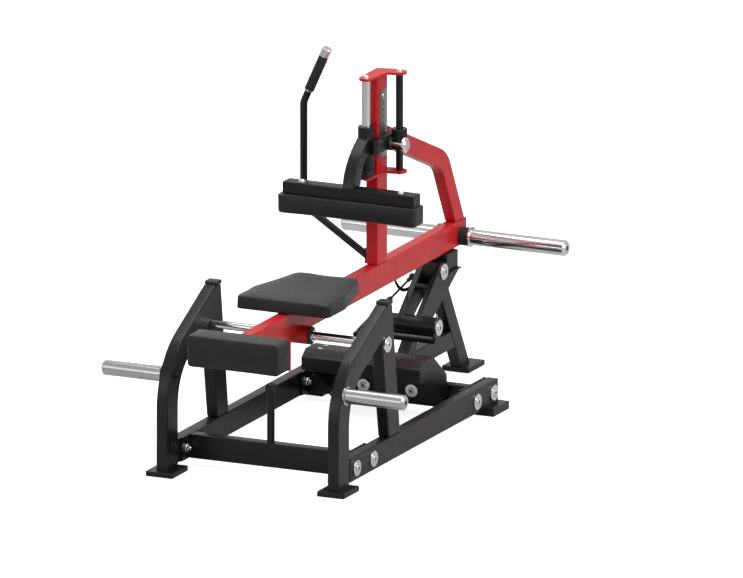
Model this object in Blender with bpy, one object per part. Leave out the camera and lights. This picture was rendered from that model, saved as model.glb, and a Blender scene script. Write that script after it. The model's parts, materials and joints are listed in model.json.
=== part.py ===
"""Plate-loaded seated lever machine: a red lever beam with seat and knee pad on a black floor frame.

Metres, +Z up, +X to the user's right, +Y from the front pad to the rear foot. Places are measured
from the front edge of the front foot plates; SHIFT_Y then centres the whole machine on the origin.
"""

import math

import bmesh
import bpy
from mathutils import Matrix, Vector

for old in list(bpy.data.objects):
    bpy.data.objects.remove(old, do_unlink=True)

# ---------------------------------------------------------------- driving dimensions
GAP = 0.0003             # clearance between touching pieces
SHIFT_Y = -0.8145        # moves the middle of the machine's length to the origin
TUBE_W = 0.040           # width of every frame tube across the machine
TUBE_H = 0.080           # height of the floor tubes
UPRIGHT_H = 0.086        # depth of the curved uprights and their braces
PLATE_T = 0.018          # foot plate thickness
EDGE = 0.005             # corner radius of the drawn tubes

SIDE_X = 0.303           # middle of each side frame
RAIL_Z = 0.025           # underside of the floor tubes
RAIL_TOP = RAIL_Z + TUBE_H
RAIL_Y = (0.1103, 1.232)
RAIL_OUT = SIDE_X + TUBE_W / 2
RAIL_IN = SIDE_X - TUBE_W / 2

AXLE_Y, AXLE_Z, AXLE_R = 0.388, 0.419, 0.014
BEAM_HALF_W = 0.021
BEAM_Z = (0.424, 0.508)
BEAM_Y = (0.0, 1.640)

POST_Y = (0.965, 1.043)
POST_TOP = 1.1315
ROD_FRONT = (0.0, 0.923)         # x, y of the chrome guide rod
ROD_SIDE = (0.062, 1.044)        # x, y of the black guide rod
LOWER_PLATE_Z = 0.804
GUIDE_PLATE_T = 0.008
PIN_Y, PIN_Z = 1.005, 0.907
HOLE_STEP, HOLE_COUNT = 0.0219, 7

HORN_Y, HORN_Z = 1.600, 0.455
PROP_Y, PROP_Z = 1.260, 0.240    # lower pivot of the swinging support
ROLLER_Y, ROLLER_Z = 1.422, 0.381
DAMPER_X = -0.055
DAMPER_LOW = (0.964, 0.273)      # y, z of the damper's lower eye
DAMPER_TOP = (1.390, 0.362)      # y, z of the rod's eye on the support


# ---------------------------------------------------------------- materials
def material(name, colour, roughness, metallic=0.0):
    mat = bpy.data.materials.new(name)
    mat.use_nodes = True
    shader = mat.node_tree.nodes["Principled BSDF"]
    shader.inputs["Base Color"].default_value = (*colour, 1.0)
    shader.inputs["Roughness"].default_value = roughness
    shader.inputs["Metallic"].default_value = metallic
    return mat


BLACK = material("black_paint", (0.035, 0.035, 0.037), 0.42)
RED = material("red_paint", (0.62, 0.030, 0.035), 0.35)
CHROME = material("chrome", (0.80, 0.80, 0.82), 0.10, 1.0)
RUBBER = material("rubber", (0.020, 0.020, 0.021), 0.75)
PAD = material("pad_vinyl", (0.030, 0.030, 0.031), 0.55)
PLASTIC = material("black_plastic", (0.025, 0.025, 0.026), 0.45)

machine = bpy.data.objects.new("machine", None)
machine.location = (0.0, SHIFT_Y, 0.0)
bpy.context.scene.collection.objects.link(machine)


# ---------------------------------------------------------------- shape helpers
def add_object(name, bm, mat, bevel=0.0, segments=2):
    """Turn a bmesh into a named object under the machine empty."""
    bmesh.ops.remove_doubles(bm, verts=bm.verts, dist=1e-6)
    bmesh.ops.recalc_face_normals(bm, faces=bm.faces)
    mesh = bpy.data.meshes.new(name)
    bm.to_mesh(mesh)
    bm.free()
    mesh.materials.append(mat)
    obj = bpy.data.objects.new(name, mesh)
    obj.parent = machine
    bpy.context.scene.collection.objects.link(obj)
    mesh.shade_smooth()
    mesh.set_sharp_from_angle(angle=math.radians(35))
    if bevel:
        mod = obj.modifiers.new("edge", "BEVEL")
        mod.width = bevel
        mod.segments = segments
        mod.limit_method = "ANGLE"
        mod.angle_limit = math.radians(40)
    return obj


def block(name, xs, ys, zs, mat, bevel=0.0, segments=2):
    """Box from its low and high X, Y and Z."""
    bm = bmesh.new()
    bmesh.ops.create_cube(bm, size=1.0)
    for v in bm.verts:
        v.co = Vector((xs[v.co.x > 0], ys[v.co.y > 0], zs[v.co.z > 0]))
    return add_object(name, bm, mat, bevel, segments)


def prism(name, outline, low, high, mat, axis="X", bevel=0.0, segments=2):
    """Extrude a closed 2D outline along X (outline in Y, Z) or along Z (outline in X, Y)."""
    bm = bmesh.new()
    if axis == "X":
        base = [bm.verts.new((low, a, b)) for a, b in outline]
        move = Vector((high - low, 0, 0))
    else:
        base = [bm.verts.new((a, b, low)) for a, b in outline]
        move = Vector((0, 0, high - low))
    face = bm.faces.new(base)
    made = bmesh.ops.extrude_face_region(bm, geom=[face])["geom"]
    bmesh.ops.translate(bm, verts=[g for g in made if isinstance(g, bmesh.types.BMVert)], vec=move)
    return add_object(name, bm, mat, bevel, segments)


def turned(name, profile, centre, direction, mat, steps=24):
    """Turn (distance along the axis, radius) points about an axis; a closed profile makes a ring."""
    along = Vector(direction).normalized()
    turn = Vector((0, 0, 1)).rotation_difference(along).to_matrix()
    start = Vector(centre)
    bm = bmesh.new()
    solid = profile[0][1] == 0.0
    rings = []
    for distance, radius in profile:
        if radius == 0.0:
            rings.append([bm.verts.new(start + turn @ Vector((0, 0, distance)))])
            continue
        circle = []
        for k in range(steps):
            angle = 2 * math.pi * k / steps
            point = Vector((radius * math.cos(angle), radius * math.sin(angle), distance))
            circle.append(bm.verts.new(start + turn @ point))
        rings.append(circle)
    pairs = list(zip(rings, rings[1:]))
    if not solid:
        pairs.append((rings[-1], rings[0]))
    for low, high in pairs:
        for k in range(steps):
            following = k + 1
            corners = [low[k % len(low)], low[following % len(low)]]
            corners += [high[following % len(high)], high[k % len(high)]]
            unique = list(dict.fromkeys(corners))
            if len(unique) > 2:
                bm.faces.new(unique)
    return add_object(name, bm, mat)


def rod(name, start, end, radius, mat, steps=24, chamfer=0.0):
    """Solid cylinder from start to end with an optional chamfer at both ends."""
    path = Vector(end) - Vector(start)
    length = path.length
    c = chamfer
    profile = [(0, 0), (0, radius - c), (c, radius)]
    profile += [(length - c, radius), (length, radius - c), (length, 0)]
    if not c:
        profile = [(0, 0), (0, radius), (length, radius), (length, 0)]
    return turned(name, profile, start, path, mat, steps)


def ring(name, start, end, inner, outer, mat, steps=24):
    """Tube from start to end with an open bore."""
    path = Vector(end) - Vector(start)
    profile = [(0, inner), (0, outer), (path.length, outer), (path.length, inner)]
    return turned(name, profile, start, path, mat, steps)


def boolean(target, others, operation):
    """Join or cut with all the other shapes in one exact operation."""
    group = bpy.data.collections.new(f"{target.name}_{operation.lower()}")
    for other in others:
        group.objects.link(other)
        other.hide_render = True
        other.display_type = "WIRE"
    mod = target.modifiers.new(operation.lower(), "BOOLEAN")
    mod.operation = operation
    mod.solver = "EXACT"
    mod.operand_type = "COLLECTION"
    mod.collection = group
    return target


def weld(target, *others):
    return boolean(target, others, "UNION")


def cut(target, *others):
    return boolean(target, others, "DIFFERENCE")


def unit(a, b):
    return (Vector(b) - Vector(a)).normalized()


def bar_outline(path, depth, radius, steps=8):
    """Outline of a bar of the given depth along a 2D path, with a round bend at each inner point."""
    sides = ([], [])
    points = [Vector(p) for p in path]
    for k, point in enumerate(points):
        before = unit(points[k - 1], point) if k else unit(point, points[1])
        after = unit(point, points[k + 1]) if k < len(points) - 1 else before
        turn = math.atan2(before.x * after.y - before.y * after.x, before.dot(after))
        if abs(turn) < 1e-6:
            normal = Vector((-before.y, before.x))
            sides[0].append(point + normal * depth / 2)
            sides[1].append(point - normal * depth / 2)
            continue
        sign = math.copysign(1, turn)
        tangent = radius * math.tan(abs(turn) / 2)
        normal = Vector((-before.y, before.x)) * sign
        centre = point - before * tangent + normal * radius
        for s in range(steps + 1):
            angle = turn * s / steps
            arm = Matrix.Rotation(angle, 2) @ (-normal)
            sides[0].append(centre + arm * (radius - sign * depth / 2))
            sides[1].append(centre + arm * (radius + sign * depth / 2))
    return [tuple(p) for p in sides[0]] + [tuple(p) for p in reversed(sides[1])]


def arc(cx, cy, radius, first, last, steps):
    """Points on a circle from one angle in degrees to another."""
    points = []
    for k in range(steps + 1):
        angle = math.radians(first + (last - first) * k / steps)
        points.append((cx + radius * math.cos(angle), cy + radius * math.sin(angle)))
    return points


# ---------------------------------------------------------------- floor frame
def cap_bolt(name, x, y, z, direction, radius=0.0265, thick=0.006, mat=CHROME):
    """Flat round bolt head lying on a face."""
    profile = [(0, 0), (0, radius), (thick - 0.0015, radius), (thick, radius - 0.002), (thick, 0)]
    return turned(name, profile, (x, y, z), direction, mat, 20)


def side_frame(side, sign):
    """One side of the floor frame: foot, curved upright, brace, rail, caps and bolts."""
    x = sign * SIDE_X
    xs = (x - TUBE_W / 2, x + TUBE_W / 2)
    out = sign * (RAIL_OUT + GAP)

    foot = block(f"{side}_front_foot", (x - 0.048, x + 0.048), (0.0, 0.120), (0.0, PLATE_T), BLACK, 0.003)

    lean = math.radians(25.5)
    bend_r = 0.208
    base_y = 0.020 + UPRIGHT_H / 2
    knee = (base_y, 0.216 + bend_r * math.tan((math.pi / 2 - lean) / 2))
    reach = 0.380
    top = (knee[0] + reach * math.cos(lean), knee[1] + reach * math.sin(lean))
    outline = bar_outline([(base_y, PLATE_T - 0.006), knee, top], UPRIGHT_H, bend_r, 10)
    frame = prism(f"{side}_a_frame", outline, *xs, BLACK, bevel=EDGE)

    # the brace stands on the rail, carries the axle and reaches the top of the upright
    brace_outline = [(0.405, RAIL_TOP + GAP), (0.490, RAIL_TOP + GAP), (0.431, 0.5440), (0.389, 0.5440),
                     (0.354, 0.432)]
    brace = prism(f"{side}_brace", brace_outline, xs[0] + GAP, xs[1] - GAP, BLACK, bevel=0.003, segments=1)
    cap_x = (xs[0] - 0.0025, xs[1] + 0.0025)
    block(f"{side}_upright_cap", cap_x, (0.392, 0.4325), (0.5443, 0.5580), PLASTIC, 0.004)
    weld(frame, foot, brace)
    cut(frame, rod(f"{side}_axle_hole", (x - 0.05, AXLE_Y, AXLE_Z), (x + 0.05, AXLE_Y, AXLE_Z),
                   AXLE_R + GAP, BLACK))
    cap_bolt(f"{side}_axle_cap", out, AXLE_Y, AXLE_Z, (sign, 0, 0))

    rail = block(f"{side}_rail", xs, RAIL_Y, (RAIL_Z, RAIL_TOP), BLACK, EDGE)
    rail_foot = block(f"{side}_rail_foot", (x - 0.048, x + 0.048), (1.140, 1.260), (0.0, RAIL_Z + 0.002),
                      BLACK, 0.003)
    weld(rail, rail_foot)

    for place, y in (("front", 0.155), ("front_inner", 0.283), ("rear_inner", 1.071), ("rear", 1.196)):
        cap_bolt(f"{side}_{place}_bolt", out, y, RAIL_Z + TUBE_H / 2, (sign, 0, 0))

    horn_profile = [(0, 0), (0, 0.031), (0.004, 0.031), (0.005, 0.025), (0.205, 0.025), (0.211, 0.019),
                    (0.211, 0.008), (0.203, 0.008), (0.203, 0)]
    turned(f"{side}_storage_horn", horn_profile, (out, 0.078, 0.323), (sign, 0, 0), CHROME)


def crossbeam(name, ys, flange_ys):
    """Cross tube with a bolting flange at each end."""
    inner = RAIL_IN - GAP
    beam = block(name, (-inner + 0.003, inner - 0.003), ys, (RAIL_Z, RAIL_TOP), BLACK, 0.004)
    flange_z = (RAIL_Z + 0.003, RAIL_TOP + 0.001)
    flanges = [block(f"{name}_flange_{x}", (x, x + 0.006), flange_ys, flange_z, BLACK)
               for x in (-inner, inner - 0.006)]
    return beam, flanges


def floor_frame():
    for side, sign in (("left", -1), ("right", 1)):
        side_frame(side, sign)
    front, flanges = crossbeam("front_crossbeam", (0.180, 0.220), (0.120, 0.315))
    stop_post = rod("stop_post", (0, 0.200, RAIL_TOP - 0.010), (0, 0.200, 0.2660), 0.0125, BLACK, 20)
    weld(front, stop_post, *flanges)
    rear, flanges = crossbeam("rear_crossbeam", (1.090, 1.130), (1.032, 1.226))
    weld(rear, *flanges)
    turned("stop_buffer", [(0, 0), (0, 0.0178), (0.026, 0.0178), (0.0307, 0.0140), (0.0307, 0)],
           (0, 0.200, 0.2663), (0, 0, 1), RUBBER, 24)


# ---------------------------------------------------------------- toe block and rear structure
def toe_block():
    """Folded foot block on two side plates that stand against the rear cross tube."""
    outline = [(0.880, 0.158), (0.880, 0.200), (0.912, 0.2225)]
    outline += [(0.985, 0.2225), (1.087, 0.142), (1.087, 0.120)]
    body = prism("toe_block", outline, -0.2100, 0.2100, BLACK, bevel=0.002)
    gusset = [(0.9000, 0.1650), (1.0840, 0.1320), (1.0897, 0.1320), (1.0897, 0.0520), (1.0820, 0.0540)]
    plates = [prism(f"toe_gusset_{x}", gusset, x, x + 0.005, BLACK) for x in (-0.2085, 0.2035)]
    # lug and pin that carry the damper's lower eye
    y, z = DAMPER_LOW
    lug = prism("toe_lug", [(y - 0.016, 0.215), (y + 0.016, 0.215)] + arc(y, z, 0.012, 0, 180, 8),
                DAMPER_X + 0.008, DAMPER_X + 0.014, BLACK)
    pin = rod("toe_lug_pin", (DAMPER_X - 0.010, y, z), (DAMPER_X + 0.010, y, z), 0.0040, BLACK, 16)
    weld(body, *plates, lug, pin)


def rear_leg_y(z, offset):
    """Y of a line parallel to the rear leg's middle line, offset across the leg, at height z."""
    slope = -0.129 / 0.230
    width = offset / math.sin(math.atan2(0.230, 0.129))
    return 1.629 + (z - 0.034) * slope + width


def rear_structure():
    leg_half = 0.030
    leg_top = 0.345
    low = PLATE_T - 0.006
    outline = [(rear_leg_y(low, -leg_half), low), (rear_leg_y(low, leg_half), low),
               (rear_leg_y(leg_top, leg_half), leg_top), (rear_leg_y(leg_top, -leg_half), leg_top)]
    leg = prism("rear_leg", outline, -TUBE_W / 2, TUBE_W / 2, BLACK, bevel=EDGE)
    foot = block("rear_foot", (-0.048, 0.048), (1.600, 1.725), (0.0, PLATE_T), BLACK, 0.003)
    rest = block("leg_rest", (-0.018, 0.018), (1.464, 1.478), (leg_top - 0.010, 0.3612), BLACK)
    weld(leg, foot, rest)

    z0, z1 = 0.095, 0.155
    ends = [(rear_leg_y(z0, -leg_half) - GAP * 2, z0), (rear_leg_y(z1, -leg_half) - GAP * 2, z1)]
    outline = [(1.134, z0)] + ends + [(1.134, z1)]
    spine = prism("spine", outline, -TUBE_W / 2, TUBE_W / 2, BLACK, bevel=0.004)
    flange = block("spine_flange", (-0.120, 0.120), (1.130 + GAP, 1.138), (0.030, 0.150), BLACK)
    weld(spine, flange)
    for side, x in (("left", -0.085), ("right", 0.085)):
        cap_bolt(f"spine_bolt_{side}", x, 1.090 - GAP, 0.072, (0, -1, 0), radius=0.0225)

    # stand with two lugs that hold the support's pivot pin
    stand = block("prop_stand", (-0.098, 0.098), (1.234, 1.288), (0.1905, 0.2035), BLACK, 0.002)
    foot = prism("prop_stand_foot", [(1.198, z1 + GAP), (1.256, z1 + GAP), (1.284, 0.195), (1.238, 0.195)],
                 -TUBE_W / 2, TUBE_W / 2, BLACK)
    lug_outline = [(1.248, 0.192), (1.272, 0.192)] + arc(PROP_Y, PROP_Z, 0.034, -20, 200, 12)
    lugs = [prism(f"prop_lug_{x}", lug_outline, x, x + 0.0055, BLACK) for x in (-0.0975, 0.0920)]
    weld(stand, foot, *lugs)
    cut(stand, rod("prop_stand_hole", (-0.12, PROP_Y, PROP_Z), (0.12, PROP_Y, PROP_Z), 0.0083, BLACK, 24))
    pin_with_caps("prop_pivot_pin", PROP_Y, PROP_Z, 0.0978, 0.0080)


def pin_with_caps(name, y, z, half, radius):
    """Pin along X with a round cap on each end; half is the distance from the middle to a cap."""
    cap_r, cap_t = 0.0265, 0.006
    side = [(half + cap_t, 0), (half + cap_t, cap_r - 0.002), (half + cap_t - 0.0015, cap_r), (half, cap_r),
            (half, radius)]
    profile = [(-d, r) for d, r in side] + list(reversed(side))
    turned(name, profile, (0, y, z), (1, 0, 0), CHROME, 20)


def support_arms():
    """Swinging support under the beam: barrel, two arms, spacer, top plate and the damper's stud."""
    barrel_ends = ((-0.0915, PROP_Y, PROP_Z), (0.0915, PROP_Y, PROP_Z))
    barrel = rod("support_arms", *barrel_ends, 0.032, BLACK, 24, 0.002)
    upper = [(1.239, 0.262), (1.394, 0.392)]
    upper += arc(ROLLER_Y, ROLLER_Z, 0.030, 140, 60, 6)
    upper += [(1.464, 0.3640)]
    foot = [(1.300, 0.2240), (1.262, 0.236)]
    left_lower = [(1.5246, 0.3640), (1.3668, 0.2693)]
    right_lower = [(1.548, 0.3640), (1.373, 0.2590)]
    left = upper + left_lower + foot
    right = upper + right_lower + foot
    arms = [prism("support_arm_left", left, -0.0410, -0.0213, BLACK, bevel=0.002, segments=1),
            prism("support_arm_right", right, 0.0213, 0.0410, BLACK, bevel=0.002, segments=1)]
    plate = block("support_plate", (-0.043, 0.043), (1.462, 1.556), (0.3617, 0.3663), BLACK)
    spacer = rod("support_spacer", (-0.023, 1.350, 0.3420), (0.023, 1.350, 0.3420), 0.0110, BLACK, 16)
    y, z = DAMPER_TOP
    stud = rod("support_stud", (DAMPER_X - 0.010, y, z), (-0.038, y, z), 0.0040, BLACK, 16)
    weld(barrel, *arms, plate, spacer, stud)
    cut(barrel, rod("barrel_hole", (-0.12, PROP_Y, PROP_Z), (0.12, PROP_Y, PROP_Z), 0.0083, BLACK, 24),
        rod("arm_hole", (-0.06, ROLLER_Y, ROLLER_Z), (0.06, ROLLER_Y, ROLLER_Z), 0.0083, BLACK, 24))
    roller_ends = ((-0.0205, ROLLER_Y, ROLLER_Z), (0.0205, ROLLER_Y, ROLLER_Z))
    ring("support_roller", *roller_ends, 0.0083, 0.025, RUBBER, 24)
    pin_with_caps("roller_pin", ROLLER_Y, ROLLER_Z, 0.0413, 0.0080)


def damper():
    """Gas damper: a cylinder on the toe block's lug and a rod that hooks on the support's stud."""
    low = Vector((DAMPER_X, *DAMPER_LOW))
    high = Vector((DAMPER_X, *DAMPER_TOP))
    along = (high - low).normalized()
    half_eye = Vector((0.005, 0, 0))
    eye = ring("damper_tube", low - half_eye, low + half_eye, 0.0043, 0.0095, BLACK, 24)
    cylinder = [(0.0080, 0), (0.0080, 0.006), (0.018, 0.0098), (0.264, 0.0098), (0.272, 0.0070),
                (0.272, 0.0046), (0.050, 0.0046), (0.050, 0)]
    body = turned("damper_body", cylinder, low, along, BLACK, 20)
    weld(eye, body)
    tip = ring("damper_rod", high - half_eye, high + half_eye, 0.0060, 0.0110, BLACK, 24)
    length = (high - low).length
    shaft = rod("damper_shaft", low + along * 0.120, low + along * (length - 0.009), 0.0040, BLACK, 16)
    ferrule = turned("damper_ferrule", [(0, 0), (0, 0.004), (0.004, 0.007), (0.024, 0.007), (0.024, 0)],
                     low + along * (length - 0.033), along, BLACK, 16)
    weld(tip, ferrule, shaft)


# ---------------------------------------------------------------- axle and lever
def axle():
    """Cross shaft with a raised collar on each side of the hub, and the hub's end rings."""
    half = [(RAIL_OUT, 0), (RAIL_OUT, AXLE_R), (0.0660, AXLE_R), (0.0660, 0.0200), (0.0583, 0.0200),
            (0.0583, AXLE_R)]
    profile = [(-x, r) for x, r in half] + list(reversed(half))
    turned("axle", profile, (0, AXLE_Y, AXLE_Z), (1, 0, 0), CHROME, 24)
    for side, sign in (("left", -1), ("right", 1)):
        ring(f"{side}_hub_ring", (sign * 0.0523, AXLE_Y, AXLE_Z), (sign * 0.0580, AXLE_Y, AXLE_Z),
             AXLE_R + GAP, 0.0300, RUBBER, 24)


def lever_beam():
    """Main tube with the pivot hub and the plate behind the front pad."""
    beam = block("lever_beam", (-BEAM_HALF_W, BEAM_HALF_W), BEAM_Y, BEAM_Z, RED, EDGE)
    hub = rod("hub", (-0.052, AXLE_Y, AXLE_Z), (0.052, AXLE_Y, AXLE_Z), 0.030, RED, 24)
    plate = block("front_plate", (-0.1635, 0.1635), (-0.005, 0.002), (0.407, 0.507), RED)
    weld(beam, hub, plate)
    cut(beam, rod("hub_hole", (-0.10, AXLE_Y, AXLE_Z), (0.10, AXLE_Y, AXLE_Z), AXLE_R + GAP, RED, 24))
    block("front_pad", (-0.161, 0.161), (-0.096, -0.005 - GAP), (0.409, 0.509), PAD, 0.008)
    block("bumper_block", (-0.032, 0.032), (1.468, 1.554), (0.3666, BEAM_Z[0] - GAP), BLACK, 0.002)


def seat():
    half, back_half, radius = 0.1625, 0.116, 0.022
    front, bend, back = 0.281, 0.413, 0.638
    right = arc(half - radius, front + radius, radius, -90, 0, 4)
    right += [(half, bend)]
    right += arc(back_half - 0.030, back - 0.030, 0.030, 14, 90, 5)
    outline = right + [(-x, y) for x, y in reversed(right)]
    prism("seat_pad", outline, 0.5116, 0.5570, PAD, axis="Z", bevel=0.007)
    block("seat_bracket", (-0.090, 0.090), (0.320, 0.580), (BEAM_Z[1] + GAP, 0.5113), BLACK)


def guide_plate_outline():
    """Boomerang plate that holds both guide rods and wraps the post's front and right side."""
    outline = arc(*ROD_FRONT, 0.0225, 170, 330, 8)
    outline += [(0.024, 0.962), (0.036, 1.012)]
    outline += arc(*ROD_SIDE, 0.0245, -70, 90, 8)
    outline += [(0.030, 1.066), (-0.022, 1.052)]
    return outline


def post():
    xs = (-BEAM_HALF_W, BEAM_HALF_W)
    column = block("knee_post", xs, POST_Y, (BEAM_Z[1] + GAP, POST_TOP + 0.004), RED, EDGE)
    top = prism("top_guide_plate", guide_plate_outline(), POST_TOP, POST_TOP + GUIDE_PLATE_T, RED, axis="Z")
    lower = prism("lower_guide_plate", guide_plate_outline(), LOWER_PLATE_Z, LOWER_PLATE_Z + GUIDE_PLATE_T,
                  RED, axis="Z")
    weld(column, top, lower)
    rod_z = (LOWER_PLATE_Z + GUIDE_PLATE_T + GAP, POST_TOP - GAP)
    rod("front_guide_rod", (*ROD_FRONT, rod_z[0]), (*ROD_FRONT, rod_z[1]), 0.0145, CHROME, 24)
    rod("side_guide_rod", (*ROD_SIDE, rod_z[0]), (*ROD_SIDE, rod_z[1]), 0.0120, BLACK, 24)
    ring("rod_buffer", (*ROD_FRONT, rod_z[0] + GAP), (*ROD_FRONT, 0.8365), 0.0148, 0.0262, RUBBER, 24)

    x0 = BEAM_HALF_W + GAP
    scale = block("scale_plate", (x0, x0 + 0.002), (0.977, 1.031), (0.862, 1.086), CHROME)
    holes = []
    for k in range(HOLE_COUNT):
        z = PIN_Z + k * HOLE_STEP
        holes.append(rod(f"scale_hole_{k}", (0.0, PIN_Y, z), (0.05, PIN_Y, z), 0.0050, CHROME, 12))
    cut(scale, *holes)

    # bent tube from the post's rear to the end of the beam
    depth, radius = 0.062, 0.110
    bend = Vector((1.482, 0.7343))
    up = Vector((-0.919, 0.394))
    down = Vector((0.454, -0.891))
    half = depth / 2

    def on_y(direction, side, y):
        start = bend + Vector((-direction.y, direction.x)) * side
        return (y, start.y + (y - start.x) * direction.y / direction.x)

    def on_z(direction, side, z):
        start = bend + Vector((-direction.y, direction.x)) * side
        return (start.x + (z - start.y) * direction.x / direction.y, z)

    outline = bar_outline([tuple(bend + up * 0.2), tuple(bend), tuple(bend + down * 0.2)], depth, radius, 8)
    middle = len(outline) // 2
    rear = POST_Y[1] + GAP
    foot = BEAM_Z[1] + GAP
    outline[0] = on_y(-up, half, rear)
    outline[-1] = on_y(-up, -half, rear)
    outline[middle - 1] = on_z(down, half, foot)
    outline[middle] = on_z(down, -half, foot)
    prism("rear_arch", outline, -TUBE_W / 2, TUBE_W / 2, RED, bevel=EDGE)


def weight_horns():
    for side, sign in (("left", -1), ("right", 1)):
        start = sign * (BEAM_HALF_W + GAP)
        collar_end = (sign * 0.0550, HORN_Y, HORN_Z)
        ring(f"{side}_horn_collar", (start, HORN_Y, HORN_Z), collar_end, 0.0128, 0.0300, RUBBER, 24)
        spigot = [(0, 0), (0, 0.0125), (0.0340, 0.0125)]
        flange = [(0.0340, 0.0330), (0.0385, 0.0330), (0.0400, 0.0260)]
        sleeve = [(0.3680, 0.0260), (0.3750, 0.0200), (0.3750, 0.0080), (0.3670, 0.0080), (0.3670, 0)]
        root = (start + sign * GAP, HORN_Y, HORN_Z)
        turned(f"{side}_weight_horn", spigot + flange + sleeve, root, (sign, 0, 0), CHROME, 24)


def curve_tube(name, points, radius, mat, resolution):
    """Round bar along a list of points, with flat ends."""
    data = bpy.data.curves.new(name, "CURVE")
    data.dimensions = "3D"
    data.bevel_depth = radius
    data.bevel_resolution = resolution
    data.use_fill_caps = True
    spline = data.splines.new("POLY")
    spline.points.add(len(points) - 1)
    for target, point in zip(spline.points, points):
        target.co = (*point, 1.0)
    data.materials.append(mat)
    obj = bpy.data.objects.new(name, data)
    obj.parent = machine
    bpy.context.scene.collection.objects.link(obj)
    return obj


def rounded_path(corners, radius, steps=6):
    """3D points along straight runs with a round bend of the same radius at each inner corner."""
    points = [Vector(c) for c in corners]
    path = [points[0]]
    for before, corner, after in zip(points, points[1:], points[2:]):
        a, b = (before - corner).normalized(), (after - corner).normalized()
        half_angle = a.angle(b) / 2
        tangent = radius / math.tan(half_angle)
        centre = corner + (a + b).normalized() * radius / math.sin(half_angle)
        start, end = corner + a * tangent - centre, corner + b * tangent - centre
        whole = start.angle(end)
        for k in range(steps + 1):
            t = k / steps
            blend = start * math.sin((1 - t) * whole) + end * math.sin(t * whole)
            path.append(centre + blend / math.sin(whole))
    path.append(points[-1])
    return path


def handle():
    """Single bent hand bar on the left of the post, with grip, ring and end cap."""
    y = 1.004
    tilt = Vector((0.410, 0.0, 0.912)).normalized()
    elbow = Vector((-0.258, y, 1.012))
    tip = elbow + tilt * 0.205
    start_x = -BEAM_HALF_W - GAP
    corners = [(start_x + 0.006, y, 0.5145), (-0.258, y, 0.672), tuple(elbow), tuple(tip - tilt * 0.030)]
    tube = curve_tube("handle_bar", rounded_path(corners, 0.045), 0.0122, BLACK, 4)
    mesh = bpy.data.meshes.new_from_object(tube)
    bpy.data.objects.remove(tube, do_unlink=True)
    bm = bmesh.new()
    bm.from_mesh(mesh)
    bar = add_object("handle_bar", bm, BLACK)
    weld(bar, block("handle_flange", (start_x - 0.006, start_x), (0.972, 1.036), (0.509, 0.560), BLACK))
    cut(bar, block("handle_trim", (start_x, 0.06), (0.90, 1.10), (0.45, 0.70), BLACK))
    grip_start = tip - tilt * 0.155
    ring_start = grip_start - tilt * 0.0055
    ring("handle_ring", ring_start, grip_start - tilt * GAP, 0.0126, 0.0165, CHROME, 24)
    ring("handle_grip", grip_start, tip - tilt * 0.0303, 0.0126, 0.0160, RUBBER, 24)
    turned("handle_end", [(0, 0), (0, 0.0165), (0.027, 0.0165), (0.030, 0.0140), (0.030, 0)],
           tip - tilt * 0.0297, tilt, CHROME, 24)


# ---------------------------------------------------------------- knee pad carriage
def carriage():
    """Sliding carriage: two sleeves, the yoke round the post, the pin's housing and the curved arm."""
    fx, fy = ROD_FRONT
    sx, sy = ROD_SIDE
    sleeve = rod("knee_carriage", (fx, fy, 0.8370), (fx, fy, 0.9790), 0.0265, BLACK, 24, 0.001)
    side = rod("side_sleeve", (sx, sy, 0.8840), (sx, sy, 0.9500), 0.0255, BLACK, 24, 0.001)
    yoke_z = (0.8915, 0.9360)
    yoke = prism("yoke", [(0.0, 0.906), (0.036, 0.906), (0.045, 0.916), (0.045, 1.030), (0.060, 1.040),
                          (0.050, 1.050), (0.0265, 1.036), (0.0265, 0.940), (0.0, 0.940)],
                 *yoke_z, BLACK, axis="Z")
    housing = rod("pin_housing", (0.038, PIN_Y, PIN_Z), (0.057, PIN_Y, PIN_Z), 0.0220, BLACK, 24, 0.003)
    outer = [(0.782, 0.8033), (0.792, 0.841), (0.811, 0.873)]
    outer += [(0.836, 0.901), (0.866, 0.925), (0.905, 0.948)]
    inner = [(0.915, 0.900), (0.886, 0.884), (0.862, 0.860), (0.847, 0.832), (0.842, 0.8033)]
    arm = prism("carriage_arm", outer + inner, -TUBE_W / 2, TUBE_W / 2, BLACK, bevel=0.003)
    weld(sleeve, side, yoke, housing, arm)
    cut(sleeve,
        rod("front_bore", (fx, fy, 0.80), (fx, fy, 1.00), 0.0148, BLACK, 24),
        rod("side_bore", (sx, sy, 0.80), (sx, sy, 1.00), 0.0123, BLACK, 24),
        rod("pin_bore", (0.020, PIN_Y, PIN_Z), (0.080, PIN_Y, PIN_Z), 0.0063, BLACK, 20))

    block("pad_beam", (-0.230, 0.230), (0.786, 0.838), (0.7628, 0.8030), BLACK, 0.003)
    block("knee_pad", (-0.240, 0.240), (0.766, 0.847), (0.7030, 0.7625), PAD, 0.012)

    start = 0.0236
    profile = [(0, 0), (0, 0.0048), (0.003, 0.0060), (0.0700, 0.0060), (0.0700, 0.0190), (0.0735, 0.0262),
               (0.0800, 0.0250), (0.0850, 0.0180), (0.0850, 0)]
    turned("pull_pin", profile, (start, PIN_Y, PIN_Z), (1, 0, 0), CHROME, 24)


# ---------------------------------------------------------------- joints
def joint(name, parent, parent_place, place, pieces):
    """Empty on a joint's axis, with the pieces that move with it left where they were built."""
    pivot = bpy.data.objects.new(name, None)
    bpy.context.scene.collection.objects.link(pivot)
    pivot.parent = parent
    pivot.location = Vector(place) - Vector(parent_place)
    for piece in pieces:
        obj = bpy.data.objects[piece]
        obj.parent = pivot
        obj.location = -Vector(place)
    return pivot


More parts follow.
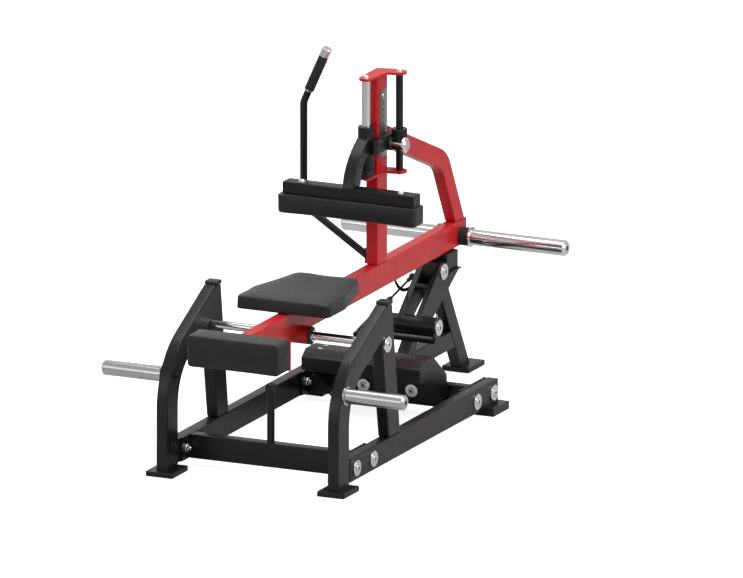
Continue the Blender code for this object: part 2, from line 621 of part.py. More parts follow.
def joints():
    """Hang every moving piece from the empty of its joint."""
    ground = (0.0, 0.0, 0.0)
    lever_place = (0.0, AXLE_Y, AXLE_Z)
    lever = joint("lever_pivot", machine, ground, lever_place, (
        "lever_beam", "left_hub_ring", "right_hub_ring", "front_pad", "bumper_block", "seat_pad",
        "seat_bracket", "knee_post", "front_guide_rod", "side_guide_rod", "rod_buffer", "scale_plate",
        "rear_arch", "left_horn_collar", "right_horn_collar", "left_weight_horn", "right_weight_horn",
        "handle_bar", "handle_ring", "handle_grip", "handle_end"))
    carriage_place = (*ROD_FRONT, PIN_Z)
    slide = joint("carriage_slide", lever, lever_place, carriage_place,
                  ("knee_carriage", "pad_beam", "knee_pad"))
    joint("pin_pull", slide, carriage_place, (0.0, PIN_Y, PIN_Z), ("pull_pin",))
    joint("support_swing", machine, ground, (0.0, PROP_Y, PROP_Z),
          ("support_arms", "support_roller", "roller_pin"))
    damper_place = (DAMPER_X, *DAMPER_LOW)
    swing = joint("damper_swing", machine, ground, damper_place, ("damper_tube",))
    joint("damper_slide", swing, damper_place, (DAMPER_X, *DAMPER_TOP), ("damper_rod",))


floor_frame()
toe_block()
rear_structure()
support_arms()
damper()
axle()
lever_beam()
seat()
post()
weight_horns()
handle()
carriage()
joints()
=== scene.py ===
"""Looks of the plate-loaded lever machine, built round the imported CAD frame.

Metres, in the CAD's own frame. Y0 is the front edge of the front foot plates, and place() measures
the machine from there.
"""

import json
import math

import bmesh
import bpy
import numpy as np
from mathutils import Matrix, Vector

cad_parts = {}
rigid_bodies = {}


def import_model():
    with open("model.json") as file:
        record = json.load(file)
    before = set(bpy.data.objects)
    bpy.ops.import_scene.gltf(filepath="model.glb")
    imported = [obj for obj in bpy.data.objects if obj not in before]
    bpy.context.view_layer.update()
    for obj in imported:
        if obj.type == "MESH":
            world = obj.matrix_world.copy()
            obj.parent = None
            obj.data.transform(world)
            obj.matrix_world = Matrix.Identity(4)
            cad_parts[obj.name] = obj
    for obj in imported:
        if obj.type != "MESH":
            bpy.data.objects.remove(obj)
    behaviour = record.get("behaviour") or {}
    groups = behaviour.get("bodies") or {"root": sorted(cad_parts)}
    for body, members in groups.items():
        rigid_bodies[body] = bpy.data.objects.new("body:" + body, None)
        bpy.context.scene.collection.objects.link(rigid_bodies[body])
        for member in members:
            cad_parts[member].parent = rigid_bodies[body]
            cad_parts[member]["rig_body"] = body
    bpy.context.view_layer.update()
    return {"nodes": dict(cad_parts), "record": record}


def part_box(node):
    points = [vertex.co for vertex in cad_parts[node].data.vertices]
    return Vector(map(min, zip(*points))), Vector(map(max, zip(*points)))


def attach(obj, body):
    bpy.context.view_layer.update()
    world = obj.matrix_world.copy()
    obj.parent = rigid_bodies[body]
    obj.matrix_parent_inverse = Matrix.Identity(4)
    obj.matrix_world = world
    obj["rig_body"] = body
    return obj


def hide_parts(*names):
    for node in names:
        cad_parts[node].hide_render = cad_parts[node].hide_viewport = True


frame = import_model()
NODES = frame["nodes"]
BODY_OF = {node: obj["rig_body"] for node, obj in NODES.items()}

Y0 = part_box("left_a_frame")[0].y
SHARP = math.radians(35)
WELD_DISTANCE = 1e-5
UP = (0, 0, 1)
DOWN = (0, 0, -1)
SIDES = (("left", -1), ("right", 1))

# floor frame: middle of a rail, inner face of rails and uprights, a cross tube's flange with its gap
RAIL_X = 0.303
FRAME_INNER_X = 0.283
FLANGE_AND_GAP = 0.0063

# screws
CAP_HEAD = {"radius": 0.0125, "height": 0.0036}
SPINE_HEAD = {"radius": 0.0105, "height": 0.0032}
ROD_HEAD = {"radius": 0.0082, "height": 0.0066}
SCALE_HEAD = {"radius": 0.0085, "height": 0.0030}
PAD_HEAD = {"radius": 0.0088, "height": 0.0050}

# upholstery
EDGE_RADIUS = 0.0055
VOXEL = 0.0042
SKIN_GAP = 0.0003
CLOTH_FRAMES = 15
SMOOTHING_PASSES = 60


# ---------------------------------------------------------------- materials
class Shader:
    """Principled material with a few helpers for noise, mixing and bump in object coordinates."""

    def __init__(self, name, **sockets):
        self.mat = bpy.data.materials.new(name)
        self.mat.use_nodes = True
        self.tree = self.mat.node_tree
        self.bsdf = self.tree.nodes["Principled BSDF"]
        for socket, value in sockets.items():
            self.bsdf.inputs[socket.replace("_", " ")].default_value = value
        self.coords = self.tree.nodes.new("ShaderNodeTexCoord").outputs["Object"]

    def link(self, source, target):
        self.tree.links.new(source, target)

    def scaled(self, scale):
        mapping = self.tree.nodes.new("ShaderNodeMapping")
        mapping.inputs["Scale"].default_value = scale
        self.link(self.coords, mapping.inputs["Vector"])
        return mapping.outputs["Vector"]

    def noise(self, scale, detail=3.0, roughness=0.5, stretch=None):
        node = self.tree.nodes.new("ShaderNodeTexNoise")
        node.inputs["Scale"].default_value = scale
        node.inputs["Detail"].default_value = detail
        node.inputs["Roughness"].default_value = roughness
        self.link(self.scaled(stretch) if stretch else self.coords, node.inputs["Vector"])
        return node.outputs["Fac"]

    def cells(self, scale, feature="F1"):
        node = self.tree.nodes.new("ShaderNodeTexVoronoi")
        node.feature = feature
        node.inputs["Scale"].default_value = scale
        self.link(self.coords, node.inputs["Vector"])
        return node.outputs["Distance"]

    def ramp(self, source, low, high, start=0.3, end=0.7):
        node = self.tree.nodes.new("ShaderNodeMapRange")
        node.inputs["From Min"].default_value = start
        node.inputs["From Max"].default_value = end
        node.inputs["To Min"].default_value = low
        node.inputs["To Max"].default_value = high
        self.link(source, node.inputs["Value"])
        return node.outputs["Result"]

    def mix(self, factor, dark, light):
        node = self.tree.nodes.new("ShaderNodeMix")
        node.data_type = "RGBA"
        self.link(factor, node.inputs["Factor"])
        node.inputs["A"].default_value = (*dark, 1)
        node.inputs["B"].default_value = (*light, 1)
        return node.outputs["Result"]

    def add(self, first, second, weight):
        node = self.tree.nodes.new("ShaderNodeMath")
        node.operation = "MULTIPLY_ADD"
        self.link(second, node.inputs[0])
        node.inputs[1].default_value = weight
        self.link(first, node.inputs[2])
        return node.outputs["Value"]

    def colour(self, source):
        self.link(source, self.bsdf.inputs["Base Color"])

    def rough(self, source):
        self.link(source, self.bsdf.inputs["Roughness"])

    def bump(self, height, strength, distance):
        node = self.tree.nodes.new("ShaderNodeBump")
        node.inputs["Strength"].default_value = strength
        node.inputs["Distance"].default_value = distance
        self.link(height, node.inputs["Height"])
        self.link(node.outputs["Normal"], self.bsdf.inputs["Normal"])


def powder_coat(name, dark, light, roughness, spread):
    """Baked paint: fine orange peel, and slow patches of colour and gloss."""
    s = Shader(name, Specular_IOR_Level=0.34)
    s.colour(s.mix(s.ramp(s.noise(9, 4), 0, 1), dark, light))
    s.rough(s.ramp(s.noise(38, 5), roughness - spread, roughness + spread))
    s.bump(s.add(s.noise(420, 2), s.noise(150, 2), 0.6), 0.05, 0.0001)
    return s.mat


def chrome(name, roughness, stretch, tone=0.78):
    """Plated steel with faint polishing marks along one direction."""
    s = Shader(name, Metallic=1.0)
    dark, light = tone * 0.92, tone * 1.10
    s.colour(s.mix(s.noise(14, 3), (dark, dark, dark * 1.02), (light, light, light * 1.01)))
    s.rough(s.ramp(s.noise(30, 4, stretch=stretch), roughness * 0.5, roughness * 1.5))
    s.bump(s.noise(60, 3, stretch=stretch), 0.05, 0.0001)
    return s.mat


def rubber(name, scale, strength):
    s = Shader(name, Specular_IOR_Level=0.35)
    s.colour(s.mix(s.noise(30, 4), (0.012, 0.012, 0.013), (0.026, 0.026, 0.027)))
    s.rough(s.ramp(s.noise(80, 3), 0.58, 0.80))
    s.bump(s.add(s.cells(scale), s.noise(1300, 2), 0.5), strength, 0.00035)
    return s.mat


def vinyl(name):
    """Upholstery vinyl: leather grain in cells, finer pores, and a soft sheen."""
    s = Shader(name, Specular_IOR_Level=0.34, Sheen_Weight=0.08, Sheen_Roughness=0.5)
    s.colour(s.mix(s.ramp(s.noise(16, 5), 0, 1), (0.009, 0.009, 0.0095), (0.014, 0.014, 0.0145)))
    s.rough(s.ramp(s.noise(55, 4), 0.42, 0.56))
    grain = s.add(s.cells(520, "DISTANCE_TO_EDGE"), s.noise(900, 3), 0.35)
    s.bump(s.add(grain, s.noise(45, 3), 0.2), 0.16, 0.0005)
    return s.mat


def moulded(name):
    s = Shader(name, Specular_IOR_Level=0.4)
    s.colour(s.mix(s.noise(25, 3), (0.016, 0.016, 0.017), (0.028, 0.028, 0.029)))
    s.rough(s.ramp(s.noise(120, 3), 0.40, 0.58))
    s.bump(s.noise(1600, 2), 0.25, 0.0001)
    return s.mat


BLACK = powder_coat("black_powder_coat", (0.0065, 0.0065, 0.007), (0.0095, 0.0095, 0.010), 0.30, 0.05)
RED = powder_coat("red_powder_coat", (0.46, 0.011, 0.014), (0.54, 0.015, 0.019), 0.30, 0.05)
CHROME_X = chrome("chrome_turned", 0.13, (14, 1, 1))
CHROME_Z = chrome("chrome_rod", 0.13, (1, 1, 0.05))
SLEEVE = chrome("storage_sleeve", 0.22, (14, 1, 1), 0.52)
BRUSHED = chrome("brushed_scale", 0.30, (1, 1, 0.03), 0.42)
RUBBER = rubber("grip_rubber", 650, 0.35)
BUFFER = rubber("buffer_rubber", 1400, 0.2)
VINYL = vinyl("pad_vinyl")
PLASTIC = moulded("moulded_plastic")
# painted shade: a near-black material for the insides of screw sockets and the screws deep in the horn
# ends, where only shade falls
RECESS_SHADE = moulded("thread_shadow")

BY_SLOT = {
    "black_paint": BLACK,
    "red_paint": RED,
    "chrome": CHROME_X,
    "rubber": BUFFER,
    "pad_vinyl": VINYL,
    "black_plastic": PLASTIC,
}
BY_NODE = {
    "front_guide_rod": CHROME_Z,
    "handle_ring": CHROME_Z,
    "handle_end": CHROME_Z,
    "scale_plate": BRUSHED,
    "handle_grip": RUBBER,
    "left_storage_horn": SLEEVE,
    "right_storage_horn": SLEEVE,
}
SLOT_OF = {part["node"]: part["material_slot"] for part in frame["record"]["subparts"]}


def dress(node, obj):
    """Procedural material and clean shading for a CAD node; its vertices stay as they are."""
    mesh = obj.data
    mesh.materials.clear()
    mesh.materials.append(BY_NODE.get(node, BY_SLOT[SLOT_OF[node]]))
    if "custom_normal" in mesh.attributes:
        mesh.attributes.remove(mesh.attributes["custom_normal"])
    mesh.polygons.foreach_set("use_smooth", [True] * len(mesh.polygons))
    for edge in mesh.edges:
        edge.use_edge_sharp = False
    weld = obj.modifiers.new("weld", "WELD")
    weld.merge_threshold = WELD_DISTANCE
    split = obj.modifiers.new("creases", "EDGE_SPLIT")
    split.split_angle = SHARP
    flat = obj.modifiers.new("flat_faces", "WEIGHTED_NORMAL")
    flat.mode = "FACE_AREA"
    flat.weight = 50


for node_name, node_object in NODES.items():
    dress(node_name, node_object)


# ---------------------------------------------------------------- shape helpers
def new_object(name, verts, faces, mat, body):
    """Smooth shaded mesh object that rides on one body of the frame."""
    mesh = bpy.data.meshes.new(name)
    mesh.from_pydata([tuple(v) for v in verts], [], faces)
    mesh.validate()
    mesh.materials.append(mat)
    mesh.shade_smooth()
    mesh.set_sharp_from_angle(angle=SHARP)
    obj = bpy.data.objects.new(name, mesh)
    bpy.context.scene.collection.objects.link(obj)
    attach(obj, body)
    return obj


def place(x, y, z):
    """Point on the machine, with y measured back from the front edge of the foot plates."""
    return Vector((x, Y0 + y, z))


def lathe(name, profile, centre, direction, mat, body, steps=40):
    """Closed turned shape; a profile entry is (distance, radius) or (distance, apothem, "hex")."""
    turn = Vector((0, 0, 1)).rotation_difference(Vector(direction)).to_matrix()
    verts, rings = [], []
    for entry in profile:
        distance, radius = entry[0], entry[1]
        if radius == 0:
            rings.append([len(verts)])
            verts.append(centre + turn @ Vector((0, 0, distance)))
            continue
        ring = []
        for k in range(steps):
            angle = 2 * math.pi * k / steps
            reach = radius
            if len(entry) == 3:
                reach = radius / math.cos((angle % (math.pi / 3)) - math.pi / 6)
            ring.append(len(verts))
            across = (reach * math.cos(angle), reach * math.sin(angle))
            verts.append(centre + turn @ Vector((*across, distance)))
        rings.append(ring)
    pairs = list(zip(rings, rings[1:]))
    if len(rings[0]) > 1:
        pairs.append((rings[-1], rings[0]))
    faces = []
    for low, high in pairs:
        for k in range(steps):
            near = [low[k % len(low)], low[(k + 1) % len(low)]]
            far = [high[(k + 1) % len(high)], high[k % len(high)]]
            face = list(dict.fromkeys(near + far))
            if len(face) > 2:
                faces.append(face)
    return new_object(name, verts, faces, mat, body)


def chamfered_disc(radius, height, rise, inset):
    """Profile of a disc whose outer edge is cut by a chamfer, rise high and inset wide."""
    return [(0, 0), (0, radius), (height - rise, radius), (height, radius - inset), (height, 0)]


def button_head(name, centre, direction, radius, height, body):
    """Domed screw head with a hexagon socket, its inside painted dark as shade."""
    socket = radius * 0.40
    depth = height * 0.55
    profile = [
        (0, 0),
        (0, radius),
        (height * 0.35, radius),
        (height * 0.75, radius * 0.86),
        (height, radius * 0.62),
        (height, socket * 1.06, "hex"),
        (height - 0.0004, socket, "hex"),
        (height - depth, socket, "hex"),
        (height - depth, 0),
    ]
    obj = lathe(name, profile, centre, direction, CHROME_X, body, 36)
    # painted shade: the faces inside the socket get the dark material
    obj.data.materials.append(RECESS_SHADE)
    along = Vector(direction)
    for face in obj.data.polygons:
        out = face.center - centre
        across = (out - along * out.dot(along)).length
        if across < socket * 0.97 and out.dot(along) > 0.0002:
            face.material_index = 1
    return obj


def nut(name, centre, direction, size, body, mat=CHROME_X):
    """Washer, hexagon nut and the chamfered end of the bolt's thread; size is measured across flats."""
    half = size / 2
    profile = [
        (0, 0),
        (0, half * 1.30),
        (0.0018, half * 1.30),
        (0.0022, half * 1.24),
        (0.0022, half * 0.98, "hex"),
        (0.0085, half * 0.98, "hex"),
        (0.0102, half * 0.86),
        (0.0102, half * 0.56),
        (0.0150, half * 0.56),
        (0.0165, half * 0.44),
        (0.0165, 0),
    ]
    return lathe(name, profile, centre, direction, mat, body, 36)


def rounded_box(name, low, high, radius, mat, body):
    """Box between two corners, with every edge rounded."""
    xs, ys, zs = zip(low, high)
    verts = [(x, y, z) for x in xs for y in ys for z in zs]
    faces = [(0, 1, 3, 2), (4, 6, 7, 5), (0, 4, 5, 1), (2, 3, 7, 6), (0, 2, 6, 4), (1, 5, 7, 3)]
    obj = new_object(name, verts, faces, mat, body)
    mod = obj.modifiers.new("edge", "BEVEL")
    mod.width = radius
    mod.segments = 3
    return obj


def swept_bar(name, path, width_axis, width, thick, mat, body):
    """Flat bar of constant section along a path that lies in a plane across width_axis."""
    verts, faces = [], []
    side = Vector(width_axis).normalized()
    count = len(path)
    for k, point in enumerate(path):
        along = (path[min(k + 1, count - 1)] - path[max(k - 1, 0)]).normalized()
        up = side.cross(along).normalized()
        for a, b in ((-1, -1), (1, -1), (1, 1), (-1, 1)):
            verts.append(point + side * (a * width / 2) + up * (b * thick / 2))
    for k in range(count - 1):
        for c in range(4):
            i, j = k * 4 + c, k * 4 + (c + 1) % 4
            faces.append((i, j, j + 4, i + 4))
    faces += [(3, 2, 1, 0), tuple(count * 4 - 4 + c for c in range(4))]
    obj = new_object(name, verts, faces, mat, body)
    mod = obj.modifiers.new("edge", "BEVEL")
    mod.width = 0.0012
    mod.segments = 2
    mod.limit_method = "ANGLE"
    return obj


# ---------------------------------------------------------------- upholstered pads
def evaluated_mesh(obj):
    """New mesh of the object with all its modifiers applied."""
    bpy.context.view_layer.update()
    return bpy.data.meshes.new_from_object(obj.evaluated_get(bpy.context.evaluated_depsgraph_get()))


def swap_mesh(obj, mesh):
    obj.modifiers.clear()
    obj.data = mesh


def coordinates(mesh):
    co = np.empty(len(mesh.vertices) * 3)
    mesh.vertices.foreach_get("co", co)
    return co.reshape(-1, 3)


def inflate(obj, held, limit, pressure):
    """Blow the closed mesh up with cloth, its held vertices pinned, and keep each point within limit."""
    start = coordinates(obj.data).copy()
    group = obj.vertex_groups.new(name="held")
    group.add([int(i) for i in np.nonzero(held)[0]], 1.0, "REPLACE")
    cloth = obj.modifiers.new("cloth", "CLOTH")
    cloth.settings.quality = 5
    cloth.settings.mass = 0.25
    cloth.settings.tension_stiffness = 18
    cloth.settings.compression_stiffness = 18
    cloth.settings.bending_stiffness = 1.2
    cloth.settings.use_pressure = True
    cloth.settings.uniform_pressure_force = pressure
    cloth.settings.vertex_group_mass = "held"
    cloth.settings.effector_weights.gravity = 0.0
    cloth.collision_settings.use_collision = False
    scene = bpy.context.scene
    for step in range(1, CLOTH_FRAMES + 1):
        scene.frame_set(step)
    moved = coordinates(evaluated_mesh(obj))
    shift = moved - start
    length = np.linalg.norm(shift, axis=1)
    shift *= np.minimum(1.0, limit / np.maximum(length, 1e-9))[:, None]
    edges = np.array([e.vertices[:] for e in obj.data.edges])
    degree = np.bincount(edges.ravel(), minlength=len(start)).astype(float)[:, None]
    for _ in range(SMOOTHING_PASSES):
        total = np.zeros_like(shift)
        np.add.at(total, edges[:, 0], shift[edges[:, 1]])
        np.add.at(total, edges[:, 1], shift[edges[:, 0]])
        shift = 0.5 * shift + 0.5 * total / degree
        shift[held] = 0.0
    obj.modifiers.clear()
    scene.frame_set(1)
    return start + shift


def foam_block(node, axis):
    """Mesh of the pad's outline seen along one axis, extruded through its whole thickness."""
    low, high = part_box(node)
    bm = bmesh.new()
    for vertex in NODES[node].data.vertices:
        for level in (low[axis], high[axis]):
            point = vertex.co.copy()
            point[axis] = level
            bm.verts.new(point)
    bmesh.ops.remove_doubles(bm, verts=bm.verts, dist=WELD_DISTANCE)
    bmesh.ops.convex_hull(bm, input=bm.verts)
    loose = [vertex for vertex in bm.verts if not vertex.link_faces]
    bmesh.ops.delete(bm, geom=loose, context="VERTS")
    bmesh.ops.dissolve_limit(bm, angle_limit=0.01, verts=bm.verts, edges=bm.edges)
    bmesh.ops.recalc_face_normals(bm, faces=bm.faces)
    mesh = bpy.data.meshes.new(f"{node}_foam")
    bm.to_mesh(mesh)
    bm.free()
    return mesh


def pad(node, name, back_axis, back_side, inset, grow, limit, pressure):
    """Vinyl cushion in the place of a CAD pad: rounded, swollen by cloth, flat on its mounted back.

    The cushion is blown up from a block set in by inset, no point moves further than limit, and the
    result is fitted to the pad's box with grow added on every side but the back.
    """
    low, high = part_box(node)
    middle = (low + high) / 2
    size = high - low
    mesh = foam_block(node, back_axis)
    co = coordinates(mesh)
    centre, spread = np.array(middle), np.array(size)
    co = centre + (co - centre) * (1 - 2 * np.array(inset) / spread)
    back = middle[back_axis] + back_side * size[back_axis] / 2
    rear = back_side * (co[:, back_axis] - middle[back_axis]) > 0
    co[rear, back_axis] = back + back_side * (EDGE_RADIUS + VOXEL)
    mesh.vertices.foreach_set("co", co.ravel())
    obj = bpy.data.objects.new(name, mesh)
    bpy.context.scene.collection.objects.link(obj)
    round_edges = obj.modifiers.new("round_edges", "BEVEL")
    round_edges.width = EDGE_RADIUS
    round_edges.segments = 3
    round_edges.limit_method = "ANGLE"
    round_edges.angle_limit = math.radians(40)
    remesh = obj.modifiers.new("remesh", "REMESH")
    remesh.mode = "VOXEL"
    remesh.voxel_size = VOXEL
    smooth = obj.modifiers.new("smooth", "SMOOTH")
    smooth.factor = 0.5
    smooth.iterations = 1
    swap_mesh(obj, evaluated_mesh(obj))
    co = coordinates(obj.data)
    held = back_side * (co[:, back_axis] - back) > -VOXEL * 0.3
    co[held, back_axis] = back
    obj.data.vertices.foreach_set("co", co.ravel())
    co = inflate(obj, held, limit, pressure)
    low_limit = np.array(low) + SKIN_GAP - np.array(grow)
    high_limit = np.array(high) - SKIN_GAP + np.array(grow)
    if back_side < 0:
        low_limit[back_axis] += grow[back_axis]
    else:
        high_limit[back_axis] -= grow[back_axis]
    own_low, own_high = co.min(0), co.max(0)
    co = low_limit + (co - own_low) * (high_limit - low_limit) / (own_high - own_low)
    obj.data.vertices.foreach_set("co", co.ravel())
    obj.data.update()
    finer = obj.modifiers.new("finer", "SUBSURF")
    finer.levels = 1
    finer.render_levels = 1
    swap_mesh(obj, evaluated_mesh(obj))
    obj.data.materials.clear()
    obj.data.materials.append(VINYL)
    obj.data.shade_smooth()
    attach(obj, BODY_OF[node])
    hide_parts(node)
    return obj


pad(
    "seat_pad",
    "seat_cushion",
    back_axis=2,
    back_side=-1,
    inset=(0.003, 0.003, 0.003),
    grow=(0.003, 0.003, 0.003),
    limit=0.0060,
    pressure=4.0,
)
pad(
    "front_pad",
    "front_cushion",
    back_axis=1,
    back_side=1,
    inset=(0.002, 0.002, 0.002),
    grow=(0.004, 0.001, 0.006),
    limit=0.0030,
    pressure=3.0,
)
pad(
    "knee_pad",
    "knee_cushion",
    back_axis=2,
    back_side=1,
    inset=(0.003, 0.002, 0.002),
    grow=(0.005, 0.002, 0.004),
    limit=0.0040,
    pressure=4.0,
)


# ---------------------------------------------------------------- fasteners and small parts
def face_centre(node, axis, side):
    """Centre of one face of a node's box."""
    low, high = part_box(node)
    point = (low + high) / 2
    point[axis] = high[axis] if side > 0 else low[axis]
    return point


def side_fasteners():
    """Button heads on every round cap, and nuts behind the cross tube flanges."""
    bolts = ("front_bolt", "front_inner_bolt", "rear_inner_bolt", "rear_bolt")
    for side, sign in SIDES:
        outward = (sign, 0, 0)
        inward = (-sign, 0, 0)
        for cap in (*bolts, "axle_cap"):
            node = f"{side}_{cap}"
            button_head(f"{node}_head", face_centre(node, 0, sign), outward, body="base", **CAP_HEAD)
        flange_x = sign * (FRAME_INNER_X - FLANGE_AND_GAP)
        for bolt in bolts:
            node = f"{side}_{bolt}"
            centre = face_centre(node, 0, sign)
            nut(f"{node}_nut", Vector((flange_x, centre.y, centre.z)), inward, 0.024, "base")
        horn_root = place(sign * FRAME_INNER_X, 0.078, 0.323)
        nut(f"{side}_storage_horn_nut", horn_root, inward, 0.020, "base", BLACK)
        node = f"spine_bolt_{side}"
        button_head(f"{node}_head", face_centre(node, 1, -1), (0, -1, 0), body="base", **SPINE_HEAD)
        for node, body in (("prop_pivot_pin", "base"), ("roller_pin", "support")):
            centre = face_centre(node, 0, sign)
            button_head(f"{node}_{side}_head", centre, outward, body=body, **CAP_HEAD)


def guide_fasteners():
    """Screws on and under the guide plates, over the ends of both guide rods."""
    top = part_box("knee_post")[1].z
    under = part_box("front_guide_rod")[0].z - 0.0083
    washer_height = 0.0018
    washer = chamfered_disc(0.0105, washer_height, 0.0004, 0.0007)
    hexagon = [
        (0, 0),
        (0, 0.0085),
        (0.0012, 0.0085),
        (0.0012, 0.0066, "hex"),
        (0.0060, 0.0066, "hex"),
        (0.0068, 0.0052),
        (0.0068, 0),
    ]
    for name, x, y, mat in (("front", 0.0, 0.923, CHROME_X), ("side", 0.062, 1.044, BLACK)):
        lathe(f"{name}_rod_washer", washer, place(x, y, top), UP, CHROME_X, "lever")
        seat = place(x, y, top + washer_height)
        button_head(f"{name}_rod_screw", seat, UP, body="lever", **ROD_HEAD)
        lathe(f"{name}_rod_hex", hexagon, place(x, y, under), DOWN, mat, "lever", 36)
    plate_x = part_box("scale_plate")[1].x
    button_head("scale_screw_top", place(plate_x, 1.005, 1.064), (1, 0, 0), body="lever", **SCALE_HEAD)


def pad_fasteners():
    """Screws that hold the knee pad, and its beam's end plugs."""
    low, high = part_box("pad_beam")
    screw_x = 0.174
    plug_inner = 0.2302
    plug_outer = 0.2325
    margin = 0.001
    washer_height = 0.0020
    washer = chamfered_disc(0.0125, washer_height, 0.0004, 0.0007)
    for side, sign in SIDES:
        centre = Vector((sign * screw_x, (low.y + high.y) / 2, high.z))
        lathe(f"{side}_pad_washer", washer, centre, UP, CHROME_X, "carriage")
        seat = centre + Vector((0, 0, washer_height))
        button_head(f"{side}_pad_screw", seat, UP, body="carriage", **PAD_HEAD)
        x0, x1 = sorted((sign * plug_inner, sign * plug_outer))
        plug_low = (x0, low.y + margin, low.z + margin)
        plug_high = (x1, high.y - margin, high.z - margin)
        name = f"{side}_beam_plug"
        rounded_box(name, plug_low, plug_high, 0.0010, PLASTIC, "carriage")


def toe_screws():
    """Countersunk screws in the top of the foot block."""
    top = 0.2225
    profile = [
        (0, 0),
        (0, 0.0080),
        (0.0006, 0.0078),
        (0.0006, 0.0036, "hex"),
        (0.0002, 0.0034, "hex"),
        (0.0002, 0),
    ]
    for side, x, mat in (("left", -0.164, CHROME_X), ("right", 0.164, BLACK)):
        for y in (0.928, 0.970):
            name = f"toe_screw_{side}_{int(y * 1000)}"
            lathe(name, profile, place(x, y, top), UP, mat, "base", 36)


def horn_tips():
    """Screws in the recessed ends of all four plate horns, painted dark as the shade in the recesses."""
    recess = 0.0080
    profile = chamfered_disc(0.0072, 0.0052, 0.0007, 0.0010)
    for side, sign in SIDES:
        for node, body in ((f"{side}_storage_horn", "base"), (f"{side}_weight_horn", "lever")):
            tip = face_centre(node, 0, sign) - Vector((sign * recess, 0, 0))
            lathe(f"{node}_screw", profile, tip, (sign, 0, 0), RECESS_SHADE, body, 24)


def tube_plugs():
    """Plastic plugs on the rear ends of the floor rails and of the lever beam."""
    gap = 0.0001
    rail_end = Y0 + 1.232
    for side, sign in SIDES:
        low = (sign * RAIL_X - 0.0190, rail_end + gap, 0.0275)
        high = (sign * RAIL_X + 0.0190, rail_end + 0.0030, 0.1040)
        rounded_box(f"{side}_rail_plug", low, high, 0.0014, PLASTIC, "base")
    beam_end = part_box("lever_beam")[1].y
    low = (-0.0200, beam_end + gap, 0.4250)
    high = (0.0200, beam_end + 0.0028, 0.5070)
    rounded_box("beam_plug", low, high, 0.0013, PLASTIC, "lever")


def grease_nipple():
    """Nipple on top of the prop stand, above its pivot pin."""
    cap = face_centre("prop_pivot_pin", 0, 1)
    root = Vector((cap.x - 0.012, cap.y + 0.002, cap.z + 0.0335))
    profile = [
        (0, 0),
        (0, 0.0036, "hex"),
        (0.0040, 0.0036, "hex"),
        (0.0046, 0.0022),
        (0.0072, 0.0026),
        (0.0088, 0.0016),
        (0.0088, 0),
    ]
    lathe("grease_nipple", profile, root, UP, CHROME_Z, "base", 24)


def support_hook():
    """Curved flat bar on the face of the support's left arm."""
    arm_x = -0.0429
    centre_y = 1.331
    centre_z = 0.449
    radius = 0.113
    steps = 14
    path = []
    for k in range(steps + 1):
        angle = math.radians(208 + 72 * k / steps)
        y = centre_y + radius * math.cos(angle)
        z = centre_z + radius * math.sin(angle)
        path.append(place(arm_x, y, z))
    swept_bar("support_hook", path, (1, 0, 0), 0.0030, 0.0120, BLACK, "support")


side_fasteners()
guide_fasteners()
pad_fasteners()
toe_screws()
horn_tips()
tube_plugs()
grease_nipple()
support_hook()


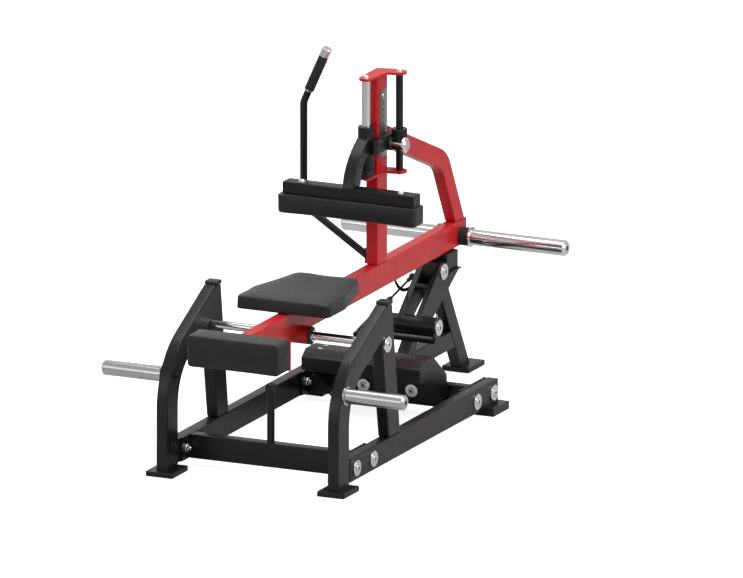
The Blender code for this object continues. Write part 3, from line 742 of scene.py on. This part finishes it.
# ---------------------------------------------------------------- floor, light and camera
def studio_floor():
    """White floor for the camera, and a dimmer grey one for everything that the machine mirrors."""
    size = 30
    verts = [(-size, -size, 0), (size, -size, 0), (size, size, 0), (-size, size, 0)]
    mesh = bpy.data.meshes.new("floor")
    mesh.from_pydata(verts, [], [(0, 1, 2, 3)])
    s = Shader("floor_paint", Roughness=0.95, Specular_IOR_Level=0.05)
    s.bsdf.inputs["Emission Color"].default_value = (1, 1, 1, 1)
    s.bsdf.inputs["Emission Strength"].default_value = 0.78
    s.colour(s.mix(s.noise(0.8, 3), (0.80, 0.80, 0.80), (0.84, 0.84, 0.84)))
    dim = s.tree.nodes.new("ShaderNodeBsdfDiffuse")
    dim.inputs["Color"].default_value = (0.50, 0.50, 0.50, 1)
    choice = s.tree.nodes.new("ShaderNodeMixShader")
    s.link(s.tree.nodes.new("ShaderNodeLightPath").outputs["Is Camera Ray"], choice.inputs["Fac"])
    s.link(dim.outputs["BSDF"], choice.inputs[1])
    s.link(s.bsdf.outputs["BSDF"], choice.inputs[2])
    s.link(choice.outputs["Shader"], s.tree.nodes["Material Output"].inputs["Surface"])
    mesh.materials.append(s.mat)
    floor = bpy.data.objects.new("floor", mesh)
    floor.location.z = -0.0005
    bpy.context.scene.collection.objects.link(floor)


def area_light(name, location, target, width, height, watts):
    light = bpy.data.lights.new(name, "AREA")
    light.shape = "RECTANGLE"
    light.size = width
    light.size_y = height
    light.energy = watts
    obj = bpy.data.objects.new(name, light)
    obj.location = location
    obj.rotation_euler = (Vector(target) - Vector(location)).to_track_quat("-Z", "Y").to_euler()
    bpy.context.scene.collection.objects.link(obj)


def lighting():
    """Even white surroundings, with a key from the right, a top light and two weak fills."""
    world = bpy.data.worlds.new("studio")
    world.use_nodes = True
    background = world.node_tree.nodes["Background"]
    background.inputs["Color"].default_value = (1, 1, 1, 1)
    background.inputs["Strength"].default_value = 0.60
    bpy.context.scene.world = world
    area_light("key_right", (4.2, -0.6, 2.6), (0, 0, 0.5), 3.2, 2.4, 88)
    area_light("top", (0.2, 0.4, 4.2), (0, 0.1, 0), 3.6, 3.6, 100)
    area_light("front_fill", (-1.6, -4.2, 1.6), (0, 0, 0.5), 2.0, 1.6, 10)
    area_light("rear_left", (-3.6, 2.6, 2.4), (0, 0.2, 0.6), 2.4, 2.0, 45)


def camera():
    """Parallel view from 25 degrees to the right of the machine's front and 14.8 degrees up."""
    azimuth = math.radians(24.97)
    elevation = math.radians(14.83)
    level = math.cos(elevation)
    back = Vector((math.sin(azimuth) * level, -math.cos(azimuth) * level, math.sin(elevation)))
    distance = 6
    data = bpy.data.cameras.new("camera")
    data.type = "ORTHO"
    data.ortho_scale = 2.383
    data.clip_end = 60
    obj = bpy.data.objects.new("camera", data)
    obj.location = place(0.0, 0.9645, 0.4286) + back * distance
    obj.rotation_euler = (-back).to_track_quat("-Z", "Y").to_euler()
    bpy.context.scene.collection.objects.link(obj)
    bpy.context.scene.camera = obj


studio_floor()
lighting()
camera()
bpy.context.scene.view_settings.view_transform = "Standard"
